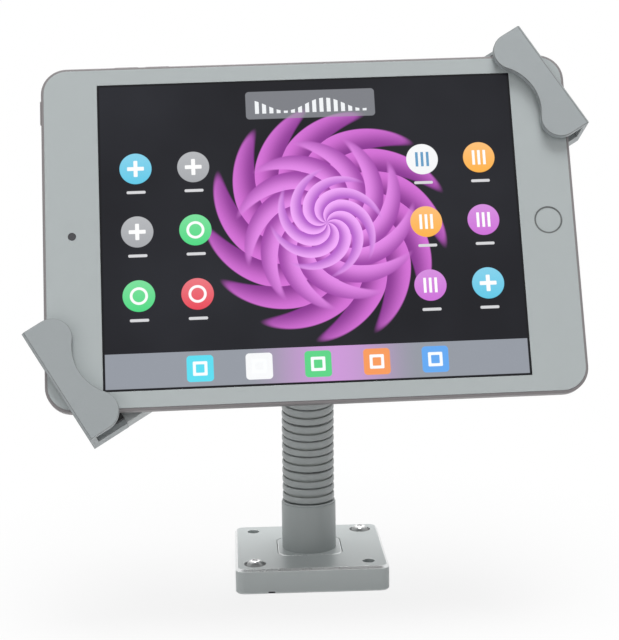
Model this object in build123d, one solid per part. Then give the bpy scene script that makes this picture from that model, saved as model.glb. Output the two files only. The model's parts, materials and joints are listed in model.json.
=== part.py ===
from build123d import *
import math
import os

# Security stand for a tablet: a screwed base, a flexible ringed neck, a tilting and turning
# head, and a diagonal arm whose two jaws grip opposite corners of the tablet.
# Millimetres. The origin is the centre of the base's underside, +Z is up, the screen faces -Y.

# Clearances that several pieces share
cut_over = 1.0
running_gap = 0.05
seat_gap = 0.1
slide_gap = 0.15
edge_break = 0.4

# Base plate and its pad
base_width = 63.5
base_thickness = 10.5
base_corner_radius = 4.0
base_top_chamfer = 1.0
base_bottom_chamfer = 0.5
pad_thickness = 1.0
pad_proud = 0.3
pad_inset = 1.6
pad_gap_side = 0.1
notch_width = 2.8
notch_height = 1.0
notch_depth = 1.6
notch_offset = 17.0

# Desk holes and the two screws that stand in them
hole_spacing = 47.2
hole_radius = 2.6
spot_face_radius = 4.6
spot_face_depth = 0.7
base_screw_head_radius = 3.7
base_screw_head_height = 2.3
base_screw_crown = 1.2
base_screw_shank_radius = 2.0
base_screw_length = 6.5

# Square foot of the neck, sunk in the base
foot_width = 27.0
foot_corner_radius = 5.0
foot_thickness = 2.0
foot_gap = 0.3

# Bolt that pulls the neck down on the base
neck_bolt_radius = 4.0
neck_bolt_head_radius = 6.5
neck_bolt_head_height = 5.0
neck_bolt_grip = 8.0
neck_bolt_hex_width = 6.0
neck_bolt_hex_depth = 3.0
neck_bolt_pocket_gap = 0.7
neck_bolt_pocket_depth = 5.4

# Lower and upper sleeves of the neck
sleeve_radius = 11.5
sleeve_height = 21.2
sleeve_lip_height = 0.9
sleeve_lip_step = 0.3
top_sleeve_height = 26.9

# Rings of the flexible neck
rib_radius = 11.0
rib_pitch = 3.65
ribs_per_ring = 2
ring_count = 10
neck_bore_radius = 4.0
groove_width = 0.8
groove_depth = 1.3
ring_gap = 0.06
fore_limit_angle = 4.4
side_limit_angle = 3.3
rest_bend_angle = 2.59
side_joint_every = 3

# Knuckle at the top of the neck
knuckle_reach = 39.9
tang_thickness = 9.0
tang_sink = 1.0
knuckle_radius = 8.5
knuckle_pin_radius = 3.0
ear_thickness = 4.5
tilt_washer_thickness = 0.5
tilt_washer_radius = 8.0
pin_head_radius = 5.0
pin_head_height = 3.2
pin_socket_width = 4.0
pin_socket_depth = 1.8
pin_end_length = 5.6
nut_width = 10.0
nut_thickness = 4.8

# Disc on which the holder turns
head_disc_radius = 19.0
head_disc_thickness = 4.5
turn_washer_thickness = 0.8
knuckle_stand_off = 10.2
turn_screw_radius = 3.0
turn_screw_head_radius = 5.6
turn_screw_head_height = 2.6

# Attitude of the tablet
tablet_tilt = 21.7
tablet_roll = 1.0
arm_angle = 30.8

# Tablet
tablet_length = 203.2
tablet_width = 134.8
tablet_thickness = 6.1
tablet_corner_radius = 10.0
tablet_back_chamfer = 1.8
tablet_rim_drop = 0.3
tablet_rim_chamfer = 0.45
tablet_rim_width = 1.0
tablet_wall = 3.0
tablet_back_wall = 1.0
glass_thickness = 1.2
screen_end_border = 21.5
screen_side_border = 7.25
screen_thickness = 1.6
screen_drop = 0.02
home_button_inset = 10.6
home_button_radius = 4.75
home_ring_width = 0.55
home_button_drop = 0.1
home_stem_radius = 2.0
home_stem_length = 1.6
camera_inset = 11.0
camera_radius = 1.5
rear_camera_radius = 3.2
rear_camera_inset = 9.4
rear_camera_proud = 0.2
side_button_length = 9.6
side_button_width = 1.7
side_button_proud = 0.5
side_button_depth = 3.3
side_button_gap = 0.06
volume_up_inset = 33.0
volume_down_inset = 45.0
sleep_button_inset = 17.0
jack_radius = 1.75
jack_depth = 12.0
jack_inset = 12.4
jack_drop = 0.1
port_length = 8.4
port_height = 2.0
port_depth = 5.0
port_skin = 0.3
port_tongue_height = 0.7
cell_end_inset = 37.6
cell_gap = 4.0
cell_side_inset = 11.4
cell_thickness = 3.0
board_length = 24.0
board_thickness = 1.4
board_inset = 17.6

# Diagonal arm behind the tablet
arm_width = 47.4
arm_thickness = 9.0
arm_back_depth = 18.5
arm_wall = 2.5
arm_floor = 2.2
arm_cover_thickness = 1.8
arm_rail_width = 1.5
arm_edge_chamfer = 0.8
bar_half_width = 17.0
hub_boss_radius = 9.0
cover_boss_radius = 3.4
cover_screw_radius = 1.5
cover_screw_head_radius = 2.7
cover_screw_head_height = 1.1
cover_screw_length = 5.4
cover_screw_near = 9.0
cover_screw_inset = 50.0
cover_screw_side = 12.5
cover_pad_length = 14.0
cover_pad_width = 40.0
cover_pad_inset = 36.0
pad_gap = 0.05

# Jaws
corner_proud = 4.77
jaw_block_length = 15.3
jaw_wall = 2.75
jaw_lip_rise = 1.0
jaw_lip_thickness = 3.0
jaw_edge_chamfer = 0.9
jaw_lobe_radius = 7.5
jaw_lobe_depth = 16.0
jaw_waist_depth = 10.3
jaw_window_half_width = 17.0
jaw_pad_margin = 1.2
jaw_pad_side_margin = 2.0
lip_pad_thickness = 0.9

# Bars that carry the jaws, and their screws
bar_end_gap = 0.2
bar_seat_depth = 11.3
slide_bar_stand_off = 5.0
fixed_bar_inset = 36.0
bar_screw_radius = 2.0
bar_screw_head_radius = 3.6
bar_screw_head_height = 1.4
bar_screw_length = 5.6
bar_screw_side = 9.0
bar_screw_inset = 9.3
fixed_screw_inset = 22.0

# Push lock that pins the sliding bar
lock_inset = 42.0
lock_hole_pitch = 5.0
lock_hole_count = 7
lock_travel = 4.5
lock_pin_radius = 2.0
lock_pin_clearance = 0.15
lock_pin_stand_off = 0.2
lock_barrel_radius = 8.0
lock_barrel_depth = 10.5
lock_flange_length = 30.0
lock_flange_width = 16.0
lock_flange_thickness = 2.0
lock_floor = 1.0
lock_plunger_radius = 5.5
lock_core_radius = 3.6
lock_core_length = 7.0
keyway_width = 1.1
keyway_height = 4.6
keyway_depth = 4.0
lock_screw_radius = 1.5
lock_screw_head_radius = 2.7
lock_screw_head_height = 1.1
lock_screw_length = 3.6
lock_screw_side = 11.4


# Heights that follow from the sizes above
base_top = pad_proud + base_thickness
neck_start = base_top + sleeve_height
ring_length = rib_pitch * ribs_per_ring
joint_count = ring_count + 1
bar_back = -arm_back_depth + arm_floor + seat_gap
bar_front = -arm_back_depth + arm_thickness - arm_cover_thickness - slide_gap
arm_front = -arm_back_depth + arm_thickness
tray_front = arm_front - arm_cover_thickness
head_disc_front = -arm_back_depth - turn_washer_thickness
head_disc_back = head_disc_front - head_disc_thickness
head_reach = -head_disc_back + knuckle_stand_off
lip_back = jaw_lip_rise
lip_front = jaw_lip_rise + jaw_lip_thickness
screen_length = tablet_length - 2 * screen_end_border
screen_width = tablet_width - 2 * screen_side_border
home_button_offset = tablet_length / 2 - home_button_inset
camera_offset = tablet_length / 2 - camera_inset
cell_length = tablet_length / 2 - cell_end_inset - cell_gap / 2
cell_width = tablet_width - 2 * cell_side_inset
cell_offset = (cell_gap + cell_length) / 2
board_offset = tablet_length / 2 - board_inset
corner_reach = (tablet_corner_radius
                + (tablet_length / 2 - tablet_corner_radius) * math.cos(math.radians(arm_angle))
                + (tablet_width / 2 - tablet_corner_radius) * math.sin(math.radians(arm_angle)))
jaw_outer_reach = corner_reach - corner_proud
jaw_lobe_reach = jaw_outer_reach - jaw_lobe_depth
jaw_waist_reach = jaw_outer_reach - jaw_waist_depth
arm_half_length = jaw_outer_reach - jaw_block_length
cover_screw_far = arm_half_length - cover_screw_inset
cover_pad_offset = arm_half_length - cover_pad_inset
slide_bar_inner_reach = hub_boss_radius + slide_bar_stand_off
fixed_bar_inner_reach = arm_half_length - fixed_bar_inset
fixed_screw_reach = arm_half_length - fixed_screw_inset
lock_reach = arm_half_length - lock_inset
bar_seat_reach = arm_half_length + bar_seat_depth


def joint_is_sideways(number):
    # every third joint of the neck bends sideways, the others bend fore and aft
    return number % side_joint_every == side_joint_every - 1


def joint_limit(number):
    return side_limit_angle if joint_is_sideways(number) else fore_limit_angle


def neck_planes():
    # one plane for each joint, at its hinge centre, with its normal along the neck above it
    planes = []
    lean = 0.0
    point = Vector(0, 0, neck_start)
    for number in range(joint_count):
        if not joint_is_sideways(number):
            lean += rest_bend_angle
        along = Vector(0, -math.sin(math.radians(lean)), math.cos(math.radians(lean)))
        planes.append(Plane(origin=point, x_dir=(1, 0, 0), z_dir=along))
        point = point + along * ring_length
    return planes


def head_plane():
    # the screen's plane without its roll, with its origin at the middle of the glass
    top = neck_planes()[-1]
    pivot = top.origin + top.z_dir * knuckle_reach
    tilt = math.radians(tablet_tilt)
    facing = Vector(0, -math.cos(tilt), math.sin(tilt))
    return Plane(origin=pivot + facing * head_reach, x_dir=(1, 0, 0), z_dir=facing)


def turned_plane(plane, angle):
    # the same plane turned about its own normal
    return Plane(plane.location * Rot(0, 0, angle))


def tablet_plane():
    return turned_plane(head_plane(), tablet_roll)


def arm_plane():
    # x runs along the arm to the sliding jaw, y across it, z out of the screen
    return turned_plane(tablet_plane(), arm_angle)


def rod(radius, low, high):
    # a round bar on the z axis between two heights
    return Pos(0, 0, low) * extrude(Circle(radius), high - low)


def slab(length, width, low, high):
    # a flat block centred on the z axis between two heights
    return Pos(0, 0, low) * extrude(Rectangle(length, width), high - low)


def rounded_slab(length, width, radius, low, high):
    return Pos(0, 0, low) * extrude(RectangleRounded(length, width, radius), high - low)


def flush_screw(radius, head_radius, head_height, length):
    # a flat cylindrical head with its face at height zero, and its shank downwards
    return rod(head_radius, -head_height, 0) + rod(radius, -length, -head_height)


def flush_hole(radius, head_radius, head_height, length, gap):
    # the stepped hole that takes flush_screw
    return rod(head_radius + gap, -head_height, cut_over) + rod(radius + gap, -length, 0)


def base_screw_places():
    half = hole_spacing / 2
    return [(-half, -half), (half, half)]


def desk_hole_places():
    half = hole_spacing / 2
    return [(-half, half), (half, -half)]


def make_base_plate():
    plate = rounded_slab(base_width, base_width, base_corner_radius, pad_proud, base_top)
    plate = chamfer(plate.faces().sort_by(Axis.Z)[-1].edges(), base_top_chamfer)
    plate = chamfer(plate.faces().sort_by(Axis.Z)[0].edges(), base_bottom_chamfer)
    pad_width = base_width - 2 * pad_inset + 2 * pad_gap_side
    plate -= rounded_slab(pad_width, pad_width, base_corner_radius - pad_inset + pad_gap_side,
                          0, pad_thickness)
    recess_width = foot_width + 2 * foot_gap
    recess_low = base_top - foot_thickness
    plate -= rounded_slab(recess_width, recess_width, foot_corner_radius + foot_gap,
                          recess_low, base_top + cut_over)
    pocket_radius = neck_bolt_head_radius + neck_bolt_pocket_gap
    plate -= rod(pocket_radius, 0, pad_thickness + neck_bolt_pocket_depth)
    plate -= rod(neck_bolt_radius + seat_gap, 0, base_top)
    for x, y in desk_hole_places():
        plate -= Pos(x, y, 0) * rod(hole_radius, 0, base_top + cut_over)
    seat = base_top - spot_face_depth
    for x, y in base_screw_places():
        plate -= Pos(x, y, 0) * rod(spot_face_radius, seat, base_top + cut_over)
        plate -= Pos(x, y, 0) * rod(base_screw_shank_radius + running_gap,
                                    seat - base_screw_length - seat_gap, seat)
    notch = slab(notch_width, 2 * notch_depth, 0, pad_proud + notch_height)
    return plate - Pos(-notch_offset, -base_width / 2, 0) * notch


def make_base_pad():
    width = base_width - 2 * pad_inset
    pad = rounded_slab(width, width, base_corner_radius - pad_inset, 0, pad_thickness)
    pad -= rod(neck_bolt_head_radius + neck_bolt_pocket_gap, -cut_over, pad_thickness + cut_over)
    for x, y in desk_hole_places():
        pad -= Pos(x, y, 0) * rod(hole_radius, -cut_over, pad_thickness + cut_over)
    return pad


def make_base_screws():
    seat = base_top - spot_face_depth
    head = rod(base_screw_head_radius, seat, seat + base_screw_head_height)
    head = chamfer(head.faces().sort_by(Axis.Z)[-1].edges(), base_screw_crown)
    screw = head + rod(base_screw_shank_radius, seat - base_screw_length, seat)
    return Compound([Pos(x, y, 0) * screw for x, y in base_screw_places()])


def make_neck_foot():
    foot = rounded_slab(foot_width, foot_width, foot_corner_radius,
                        base_top - foot_thickness, base_top)
    return foot - rod(neck_bolt_radius + seat_gap, 0, base_top + cut_over)


def make_neck_bolt():
    seat = pad_thickness + neck_bolt_pocket_depth
    bolt = rod(neck_bolt_head_radius, seat - neck_bolt_head_height, seat)
    bolt += rod(neck_bolt_radius, seat, base_top + neck_bolt_grip)
    socket = RegularPolygon(neck_bolt_hex_width / 2, 6, major_radius=False)
    low = seat - neck_bolt_head_height
    return bolt - Pos(0, 0, low) * extrude(socket, neck_bolt_hex_depth)


def half_gap(number):
    # how far each flat end stands back from the hinge, so that the rims just clear at the limit
    return ring_gap / 2 + rib_radius * math.tan(math.radians(joint_limit(number) / 2))


def make_neck_sleeve():
    top = neck_start - half_gap(0)
    lip_root = top - sleeve_lip_height
    thread_end = base_top + neck_bolt_grip + seat_gap
    sleeve = rod(sleeve_radius, base_top, lip_root)
    sleeve += rod(sleeve_radius - sleeve_lip_step, lip_root, top)
    sleeve -= rod(neck_bore_radius, thread_end, top + cut_over)
    return sleeve - rod(neck_bolt_radius + running_gap, base_top - cut_over, thread_end)


def make_neck_ring(number):
    # two ribs and the groove between them
    low = half_gap(number)
    high = ring_length - half_gap(number + 1)
    ring = rod(rib_radius, low, high)
    for groove in range(1, ribs_per_ring):
        middle = groove * rib_pitch
        cut = Circle(rib_radius + cut_over) - Circle(rib_radius - groove_depth)
        ring -= Pos(0, 0, middle - groove_width / 2) * extrude(cut, groove_width)
    return ring


def make_neck_top():
    low = half_gap(joint_count - 1)
    lip_end = low + sleeve_lip_height
    sleeve = rod(sleeve_radius - sleeve_lip_step, low, lip_end)
    sleeve += rod(sleeve_radius, lip_end, top_sleeve_height)
    sleeve -= rod(neck_bore_radius, low - cut_over, top_sleeve_height / 2)
    tang_root = top_sleeve_height - tang_sink
    tang_length = knuckle_reach - tang_root
    outline = Pos(0, knuckle_reach) * Circle(knuckle_radius)
    outline += Pos(0, tang_root + tang_length / 2) * Rectangle(2 * knuckle_radius, tang_length)
    tang = Plane.YZ * extrude(outline, tang_thickness / 2, both=True)
    hole = Pos(0, knuckle_reach) * Circle(knuckle_pin_radius + running_gap)
    bore = Plane.YZ * extrude(hole, tang_thickness, both=True)
    return sleeve + tang - bore


def ear_inner():
    return tang_thickness / 2 + tilt_washer_thickness + 2 * running_gap


def ear_outer():
    return ear_inner() + ear_thickness


def make_tilt_bracket():
    disc = rod(head_disc_radius, head_disc_back, head_disc_front)
    ear_length = head_reach + head_disc_back
    outline = Pos(0, -head_reach) * Circle(knuckle_radius)
    outline += Pos(0, -head_reach + ear_length / 2) * Rectangle(2 * knuckle_radius, ear_length)
    outline -= Pos(0, -head_reach) * Circle(knuckle_pin_radius + running_gap)
    ear = Plane.YZ * extrude(outline, ear_thickness)
    bracket = disc + Pos(ear_inner(), 0, 0) * ear + Pos(-ear_outer(), 0, 0) * ear
    sink = Rot(180, 0, 0) * flush_hole(turn_screw_radius, turn_screw_head_radius,
                                       turn_screw_head_height, head_disc_thickness + cut_over,
                                       running_gap)
    return bracket - Pos(0, 0, head_disc_back) * sink


def make_tilt_pin():
    length = 2 * ear_outer()
    pin = rod(knuckle_pin_radius, -pin_end_length, length)
    head = rod(pin_head_radius, length, length + pin_head_height)
    socket = RegularPolygon(pin_socket_width / 2, 6, major_radius=False)
    pin += head
    top = length + pin_head_height
    pin -= Pos(0, 0, top - pin_socket_depth) * extrude(socket, pin_socket_depth + cut_over)
    return Pos(-ear_outer(), 0, -head_reach) * Rot(0, 90, 0) * pin


def make_tilt_nut():
    outline = RegularPolygon(nut_width / 2, 6, major_radius=False)
    outline -= Circle(knuckle_pin_radius + running_gap)
    nut = extrude(outline, nut_thickness)
    return Pos(-ear_outer() - nut_thickness, 0, -head_reach) * Rot(0, 90, 0) * nut


def make_tilt_washers():
    ring = Circle(tilt_washer_radius) - Circle(knuckle_pin_radius + seat_gap)
    washer = Rot(0, 90, 0) * extrude(ring, tilt_washer_thickness)
    inner = tang_thickness / 2 + running_gap
    right = Pos(inner, 0, -head_reach) * washer
    left = Pos(-inner - tilt_washer_thickness, 0, -head_reach) * washer
    return Compound([left, right])


def make_turn_washer():
    ring = Circle(head_disc_radius) - Circle(turn_screw_radius + seat_gap)
    return Pos(0, 0, head_disc_front) * extrude(ring, turn_washer_thickness)


def make_turn_screw():
    length = tray_front - head_disc_back - seat_gap
    screw = flush_screw(turn_screw_radius, turn_screw_head_radius, turn_screw_head_height, length)
    return Pos(0, 0, head_disc_back) * Rot(180, 0, 0) * screw


def make_arm_tray():
    # an extruded channel with a rail on each side of the jaws' bars
    height = tray_front + arm_back_depth
    inner_half = arm_width / 2 - arm_wall
    rail_inner = bar_half_width + slide_gap
    rail_height = bar_front + arm_back_depth - arm_floor
    middle = height / 2
    outline = Pos(0, middle) * Rectangle(arm_width, height)
    back_corners = outline.vertices().group_by(Axis.Y)[0]
    outline = chamfer(back_corners, arm_edge_chamfer)
    outline -= Pos(0, middle + arm_floor) * Rectangle(2 * inner_half, height)
    for side in (-1, 1):
        rail_middle = side * (rail_inner + arm_rail_width / 2)
        outline += Pos(rail_middle, arm_floor + rail_height / 2) * Rectangle(
            arm_rail_width, rail_height)
    section = Plane(origin=(-arm_half_length, 0, -arm_back_depth), x_dir=(0, 1, 0), z_dir=(1, 0, 0))
    tray = section * extrude(outline, 2 * arm_half_length)
    floor_low = -arm_back_depth
    tray += rod(hub_boss_radius, floor_low, tray_front - slide_gap)
    for x, y in cover_screw_places():
        tray += Pos(x, y, 0) * rod(cover_boss_radius, floor_low, tray_front)
    tray -= rod(turn_screw_radius + running_gap, floor_low - cut_over, tray_front)
    for x, y in cover_screw_places():
        hole_low = arm_front - cover_screw_length - seat_gap
        tray -= Pos(x, y, 0) * rod(cover_screw_radius + running_gap, hole_low, tray_front)
    tray -= Pos(lock_reach, 0, 0) * rod(lock_pin_radius + lock_pin_clearance,
                                        floor_low - cut_over, tray_front)
    for side in (-1, 1):
        hole = rod(lock_screw_radius + running_gap, floor_low - cut_over, floor_low + arm_floor)
        tray -= Pos(lock_reach, side * lock_screw_side, 0) * hole
    sink = Rot(180, 0, 0) * flush_hole(bar_screw_radius, bar_screw_head_radius,
                                       bar_screw_head_height, arm_floor + cut_over, running_gap)
    for side in (-1, 1):
        tray -= Pos(-fixed_screw_reach, side * bar_screw_side, floor_low) * sink
    return tray


def cover_screw_places():
    return [(x, y) for x in (-cover_screw_far, cover_screw_near)
            for y in (-cover_screw_side, cover_screw_side)]


def make_arm_cover():
    cover = slab(2 * arm_half_length, arm_width, tray_front, arm_front)
    long_edges = cover.faces().sort_by(Axis.Z)[-1].edges().filter_by(Axis.X)
    cover = chamfer(long_edges, edge_break)
    sink = flush_hole(cover_screw_radius, cover_screw_head_radius, cover_screw_head_height,
                      arm_cover_thickness + cut_over, running_gap)
    for x, y in cover_screw_places():
        cover -= Pos(x, y, arm_front) * sink
    return cover


def make_arm_cover_screws():
    screw = flush_screw(cover_screw_radius, cover_screw_head_radius, cover_screw_head_height,
                        cover_screw_length)
    return Compound([Pos(x, y, arm_front) * screw for x, y in cover_screw_places()])


def make_cover_pads():
    high = -tablet_thickness - pad_gap
    pad = slab(cover_pad_length, cover_pad_width, arm_front, high)
    return Compound([Pos(-cover_pad_offset, 0, 0) * pad, Pos(cover_pad_offset, 0, 0) * pad])


def lip_outline(margin, side_margin):
    # the lip's front outline, or the same drawn in by a margin for its pad
    half = arm_width / 2 - side_margin
    outer = jaw_outer_reach - (jaw_wall if margin else 0)
    lobe = jaw_lobe_radius - margin
    lobe_reach = jaw_lobe_reach + margin
    lobe_s = lobe_reach + lobe
    lobe_w = half - lobe
    waist = jaw_waist_reach + margin
    rise = lobe_s - waist
    waist_radius = (lobe_w ** 2 + rise ** 2 - lobe ** 2) / (2 * (lobe - rise))
    share = waist_radius / (waist_radius + lobe)
    centre = waist - waist_radius
    meet_s = centre + (lobe_s - centre) * share
    meet_w = lobe_w * share
    return make_face([
        Line((outer, -half), (outer, half)),
        Line((outer, half), (lobe_s, half)),
        ThreePointArc((lobe_s, half), (lobe_reach, lobe_w), (meet_s, meet_w)),
        ThreePointArc((meet_s, meet_w), (waist, 0), (meet_s, -meet_w)),
        ThreePointArc((meet_s, -meet_w), (lobe_reach, -lobe_w), (lobe_s, -half)),
        Line((lobe_s, -half), (outer, -half)),
    ])


def jaw_bar_screw_places():
    reach = arm_half_length + bar_screw_inset / 2
    return [(reach, -bar_screw_side), (reach, bar_screw_side)]


def make_jaw():
    # lip, outer wall with its window, and the block that holds the bar
    lip = Pos(0, 0, lip_back) * extrude(lip_outline(0, 0), jaw_lip_thickness)
    wall_middle = jaw_outer_reach - jaw_wall / 2
    wall = Pos(wall_middle, 0, 0) * slab(jaw_wall, arm_width, arm_front, lip_back)
    block_length = jaw_outer_reach - arm_half_length
    block_middle = arm_half_length + block_length / 2
    block = Pos(block_middle, 0, 0) * slab(block_length, arm_width, -arm_back_depth, arm_front)
    jaw = lip + wall + block
    front_edges = jaw.faces().sort_by(Axis.Z)[-1].edges()
    outer_edge = front_edges.sort_by(Axis.X)[-1]
    jaw = chamfer(outer_edge, jaw_edge_chamfer)
    window_height = lip_back - arm_front
    window = slab(2 * jaw_wall, 2 * jaw_window_half_width, arm_front, arm_front + window_height)
    jaw -= Pos(jaw_outer_reach, 0, 0) * window
    seat_length = bar_seat_depth + cut_over
    seat = slab(seat_length, 2 * (bar_half_width + seat_gap), bar_back - seat_gap,
                bar_front + seat_gap)
    jaw -= Pos(bar_seat_reach - seat_length / 2, 0, 0) * seat
    sink = Rot(180, 0, 0) * flush_hole(bar_screw_radius, bar_screw_head_radius,
                                       bar_screw_head_height, arm_floor + cut_over, running_gap)
    for x, y in jaw_bar_screw_places():
        jaw -= Pos(x, y, -arm_back_depth) * sink
    return jaw


def make_bar(inner_reach, screw_places):
    outer_reach = bar_seat_reach - bar_end_gap
    middle = (inner_reach + outer_reach) / 2
    bar = Pos(middle, 0, 0) * slab(outer_reach - inner_reach, 2 * bar_half_width,
                                   bar_back, bar_front)
    bar = chamfer(bar.edges().filter_by(Axis.Z), edge_break)
    for x, y in screw_places:
        hole = rod(bar_screw_radius + running_gap, bar_back - cut_over, bar_front + cut_over)
        bar -= Pos(x, y, 0) * hole
    return bar


def make_slide_bar():
    bar = make_bar(slide_bar_inner_reach, jaw_bar_screw_places())
    hole = rod(lock_pin_radius + lock_pin_clearance, bar_back - cut_over, bar_front + cut_over)
    for number in range(lock_hole_count):
        bar -= Pos(lock_reach - number * lock_hole_pitch, 0, 0) * hole
    return bar


def make_fixed_bar():
    places = jaw_bar_screw_places() + fixed_bar_screw_places()
    return make_bar(fixed_bar_inner_reach, places)


def fixed_bar_screw_places():
    return [(fixed_screw_reach, -bar_screw_side), (fixed_screw_reach, bar_screw_side)]


def make_bar_screws(places):
    screw = Rot(180, 0, 0) * flush_screw(bar_screw_radius, bar_screw_head_radius,
                                         bar_screw_head_height, bar_screw_length)
    return Compound([Pos(x, y, -arm_back_depth) * screw for x, y in places])


def make_lip_pad():
    outline = lip_outline(jaw_pad_margin, jaw_pad_side_margin)
    return Pos(0, 0, lip_back - lip_pad_thickness) * extrude(outline, lip_pad_thickness)


def make_back_pad():
    # the pad between the jaw's block and the tablet, cut to the wall
    length = jaw_outer_reach - jaw_wall - arm_half_length - jaw_pad_margin
    middle = arm_half_length + length / 2
    width = arm_width - 2 * jaw_pad_side_margin
    pad = slab(length, width, arm_front, -tablet_thickness - pad_gap)
    return Pos(middle, 0, 0) * pad


def make_lock_housing():
    flange_back = -arm_back_depth - lock_flange_thickness
    barrel_back = -arm_back_depth - lock_barrel_depth
    flange = rounded_slab(lock_flange_width, lock_flange_length, lock_flange_width / 2 - edge_break,
                          flange_back, -arm_back_depth)
    barrel = rod(lock_barrel_radius, barrel_back, -arm_back_depth)
    housing = flange + barrel
    housing -= rod(lock_plunger_radius + running_gap, barrel_back - cut_over,
                   -arm_back_depth - lock_floor)
    housing -= rod(lock_pin_radius + lock_pin_clearance, barrel_back, -arm_back_depth + cut_over)
    sink = Rot(180, 0, 0) * flush_hole(lock_screw_radius, lock_screw_head_radius,
                                       lock_screw_head_height, lock_flange_thickness + cut_over,
                                       running_gap)
    for side in (-1, 1):
        housing -= Pos(0, side * lock_screw_side, flange_back) * sink
    return Pos(lock_reach, 0, 0) * housing


def make_lock_screws():
    flange_back = -arm_back_depth - lock_flange_thickness
    screw = Rot(180, 0, 0) * flush_screw(lock_screw_radius, lock_screw_head_radius,
                                         lock_screw_head_height, lock_screw_length)
    return Compound([Pos(lock_reach, side * lock_screw_side, flange_back) * screw
                     for side in (-1, 1)])


def lock_plunger_back():
    return -arm_back_depth - lock_barrel_depth - lock_travel


def make_lock_plunger():
    # stands proud of its housing by the travel, with its pin just short of the bar
    back = lock_plunger_back()
    front = -arm_back_depth - lock_floor - lock_travel - seat_gap
    plunger = rod(lock_plunger_radius, back, front)
    plunger += rod(lock_pin_radius, front, bar_back - lock_pin_stand_off)
    plunger -= rod(lock_core_radius + running_gap, back - cut_over,
                   back + lock_core_length + seat_gap)
    return Pos(lock_reach, 0, 0) * plunger


def make_lock_core():
    back = lock_plunger_back()
    core = rod(lock_core_radius, back, back + lock_core_length)
    core -= slab(keyway_width, keyway_height, back - cut_over, back + keyway_depth)
    return Pos(lock_reach, 0, 0) * core


def top_edge_button_place(inset):
    # on the long edge, measured from the short edge on the camera's side
    return Plane(origin=(-tablet_length / 2 + inset, tablet_width / 2, side_button_height()),
                 x_dir=(1, 0, 0), z_dir=(0, 1, 0))


def left_edge_place(side):
    return Plane(origin=(-tablet_length / 2, side, side_button_height()),
                 x_dir=(0, 1, 0), z_dir=(-1, 0, 0))


def side_button_height():
    # middle of the flat side between the back's curve and the front rim
    return (-tablet_rim_drop - tablet_rim_chamfer - tablet_thickness + tablet_back_chamfer) / 2


def sleep_button_place():
    return left_edge_place(tablet_width / 2 - sleep_button_inset)


def side_button():
    size = RectangleRounded(side_button_length, side_button_width,
                            side_button_width / 2 - side_button_gap)
    depth = side_button_depth + side_button_proud
    return Pos(0, 0, -side_button_depth) * extrude(size, depth)


def side_button_hole():
    grown = 2 * side_button_gap
    size = RectangleRounded(side_button_length + grown, side_button_width + grown,
                            side_button_width / 2)
    depth = 2 * side_button_depth
    return Pos(0, 0, -depth) * extrude(size, depth + cut_over)


def make_tablet_shell():
    shell = rounded_slab(tablet_length, tablet_width, tablet_corner_radius,
                         -tablet_thickness, -tablet_rim_drop)
    shell = chamfer(shell.faces().sort_by(Axis.Z)[0].edges(), tablet_back_chamfer)
    shell = chamfer(shell.faces().sort_by(Axis.Z)[-1].edges(), tablet_rim_chamfer)
    shell -= rounded_slab(tablet_length - 2 * tablet_rim_width, tablet_width - 2 * tablet_rim_width,
                          tablet_corner_radius - tablet_rim_width,
                          -glass_thickness - running_gap, cut_over)
    shell -= rounded_slab(tablet_length - 2 * tablet_wall, tablet_width - 2 * tablet_wall,
                          tablet_corner_radius - tablet_wall,
                          -tablet_thickness + tablet_back_wall, cut_over)
    for place in (top_edge_button_place(volume_up_inset), top_edge_button_place(volume_down_inset),
                  sleep_button_place()):
        shell -= place * side_button_hole()
    jack_side = -tablet_width / 2 + jack_inset
    jack_place = Plane(origin=(-tablet_length / 2, jack_side, -tablet_thickness / 2 - jack_drop),
                       x_dir=(0, 1, 0), z_dir=(-1, 0, 0))
    shell -= jack_place * rod(jack_radius, -jack_depth, cut_over)
    shell -= port_plane() * Pos(0, 0, -port_depth) * extrude(port_outline(0), port_depth + cut_over)
    shell -= rear_camera_place() * rod(rear_camera_radius + running_gap, -cut_over,
                                       tablet_back_wall + cut_over)
    return shell


def port_plane():
    return Plane(origin=(tablet_length / 2, 0, side_button_height()), x_dir=(0, 1, 0),
                 z_dir=(1, 0, 0))


def port_outline(inset):
    radius = port_height / 2 - seat_gap
    return RectangleRounded(port_length - 2 * inset, port_height - 2 * inset, radius - inset)


def rear_camera_place():
    return Pos(-tablet_length / 2 + rear_camera_inset, tablet_width / 2 - rear_camera_inset,
               -tablet_thickness)


def home_place():
    return Pos(home_button_offset, 0, 0)


def make_tablet_bezel():
    inset = 2 * (tablet_rim_width + running_gap)
    bezel = rounded_slab(tablet_length - inset, tablet_width - inset,
                         tablet_corner_radius - tablet_rim_width, -glass_thickness, 0)
    bezel -= slab(screen_length, screen_width, -glass_thickness - cut_over, cut_over)
    home_radius = home_button_radius + home_ring_width + 2 * running_gap
    bezel -= home_place() * rod(home_radius, -glass_thickness - cut_over, cut_over)
    camera = rod(camera_radius + running_gap, -glass_thickness - cut_over, cut_over)
    return bezel - Pos(-camera_offset, 0, 0) * camera


def make_tablet_screen():
    gap = 2 * running_gap
    return slab(screen_length - gap, screen_width - gap, -screen_drop - screen_thickness,
                -screen_drop)


def make_home_button():
    cap = rod(home_button_radius, -glass_thickness, -home_button_drop)
    stem = rod(home_stem_radius, -glass_thickness - home_stem_length, -glass_thickness)
    return home_place() * (cap + stem)


def make_home_ring():
    inner = home_button_radius + running_gap
    ring = rod(inner + home_ring_width, -glass_thickness, -screen_drop)
    ring -= rod(inner, -glass_thickness - cut_over, cut_over)
    return home_place() * ring


def make_front_camera():
    return Pos(-camera_offset, 0, 0) * rod(camera_radius, -glass_thickness, -screen_drop)


def make_rear_camera():
    lens = rod(rear_camera_radius, -rear_camera_proud, tablet_back_wall)
    return rear_camera_place() * lens


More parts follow.
